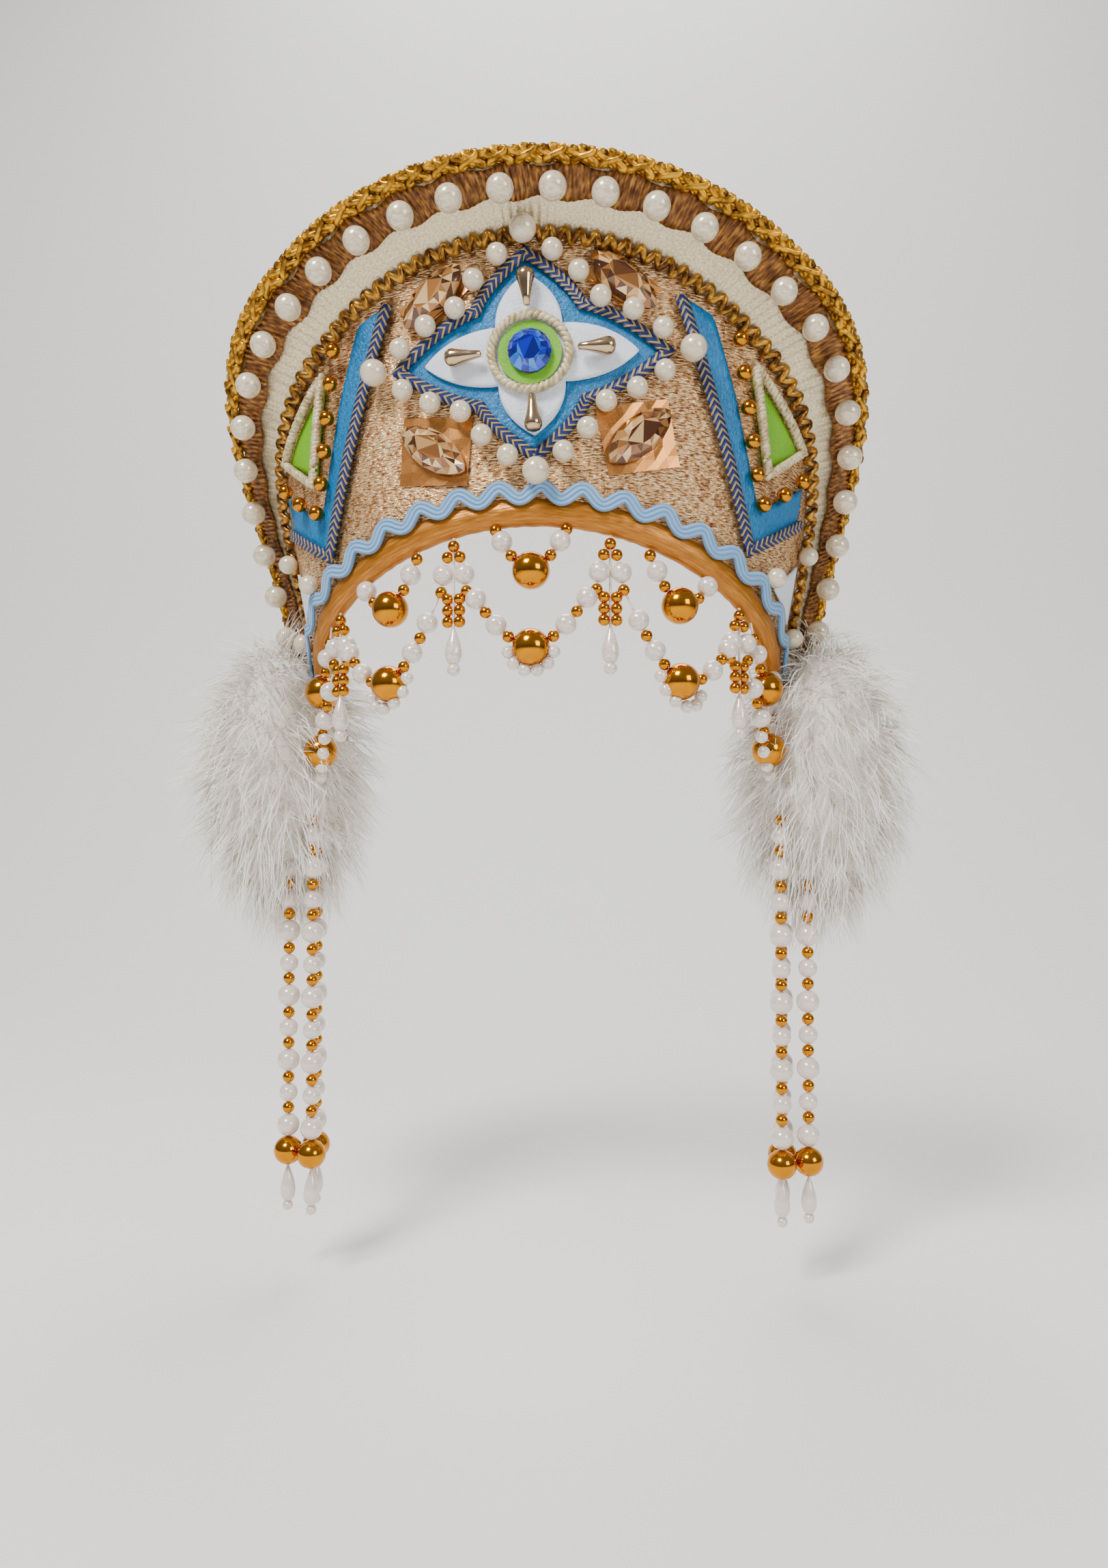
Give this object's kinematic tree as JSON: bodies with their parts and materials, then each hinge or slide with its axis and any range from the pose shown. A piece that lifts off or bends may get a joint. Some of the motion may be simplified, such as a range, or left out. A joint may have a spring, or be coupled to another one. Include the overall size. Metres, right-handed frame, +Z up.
{
  "type": "kokoshnik headdress",
  "caption": "Festive kokoshnik headdress: a curved brocade crest with a pearl border, sewn satin motif, beaded forehead net, fur ear puffs and hanging bead strands.",
  "frame": {"origin": "middle of the wearer's head, level with the lower edge of the binding at the middle of the forehead", "axes": "+Z up, front of the headdress towards -Y, +X to the right of someone who looks at the front"},
  "size_m": [0.3169, 0.1521, 0.4031],
  "materials": {
    "brocade": "woven rose-gold brocade",
    "lining": "dark teal cloth",
    "lame": "cream metallic cloth",
    "gold_braid": "bright gold braid",
    "brown_braid": "pleated brown-gold braid",
    "blue_braid": "navy braid with gold dashes",
    "gold_lame": "mustard-gold metallic cloth",
    "blue_trim": "light blue woven trim",
    "turquoise_satin": "turquoise satin",
    "white_satin": "white satin",
    "lime_satin": "lime satin",
    "twisted_cord": "twisted cream and gold cord",
    "blue_stone": "cut blue stone",
    "champagne_stone": "cut champagne stone",
    "foil": "crumpled peach-gold foil",
    "metal_drop": "polished warm metal",
    "pearl": "pearl lustre",
    "gold_bead": "polished gold bead",
    "fur": "white long-pile fur"
  },
  "bodies": {
    "root": {"crest_board": "brocade", "lining": "lining", "border_band": "lame", "edge_braid": "brown_braid", "edge_cord": "gold_braid", "gimp_braid": "gold_braid", "border_pearls": "pearl", "binding": "gold_lame", "rickrack": "blue_trim", "motif_backing": "turquoise_satin", "motif_petals": "white_satin", "motif_disc": "lime_satin", "motif_cord": "twisted_cord", "centre_stone": "blue_stone", "metal_drop_right": "metal_drop", "metal_drop_top": "metal_drop", "metal_drop_left": "metal_drop", "metal_drop_bottom": "metal_drop", "motif_braid": "blue_braid", "motif_pearls": "pearl", "foil_upper_left": "foil", "navette_upper_left": "champagne_stone", "foil_lower_left": "foil", "navette_lower_left": "champagne_stone", "foil_upper_right": "foil", "navette_upper_right": "champagne_stone", "foil_lower_right": "foil", "navette_lower_right": "champagne_stone", "side_panel_left": "turquoise_satin", "panel_braid_left": "blue_braid", "side_triangle_left": "lime_satin", "triangle_cord_left": "twisted_cord", "side_beads_left": "gold_bead", "corner_triangle_left": "white_satin", "corner_pearl_upper_left": "pearl", "corner_pearl_inner_left": "pearl", "corner_pearl_lower_left": "pearl", "side_panel_right": "turquoise_satin", "panel_braid_right": "blue_braid", "side_triangle_right": "lime_satin", "triangle_cord_right": "twisted_cord", "side_beads_right": "gold_bead", "corner_triangle_right": "white_satin", "corner_pearl_upper_right": "pearl", "corner_pearl_inner_right": "pearl", "corner_pearl_lower_right": "pearl", "forehead_net": "pearl", "fur_left": "fur", "strand_outer_left": "pearl", "strand_inner_left": "pearl", "strand_rear_left": "pearl", "fur_right": "fur", "strand_outer_right": "pearl", "strand_inner_right": "pearl", "strand_rear_right": "pearl"}
  },
  "joints": []
}
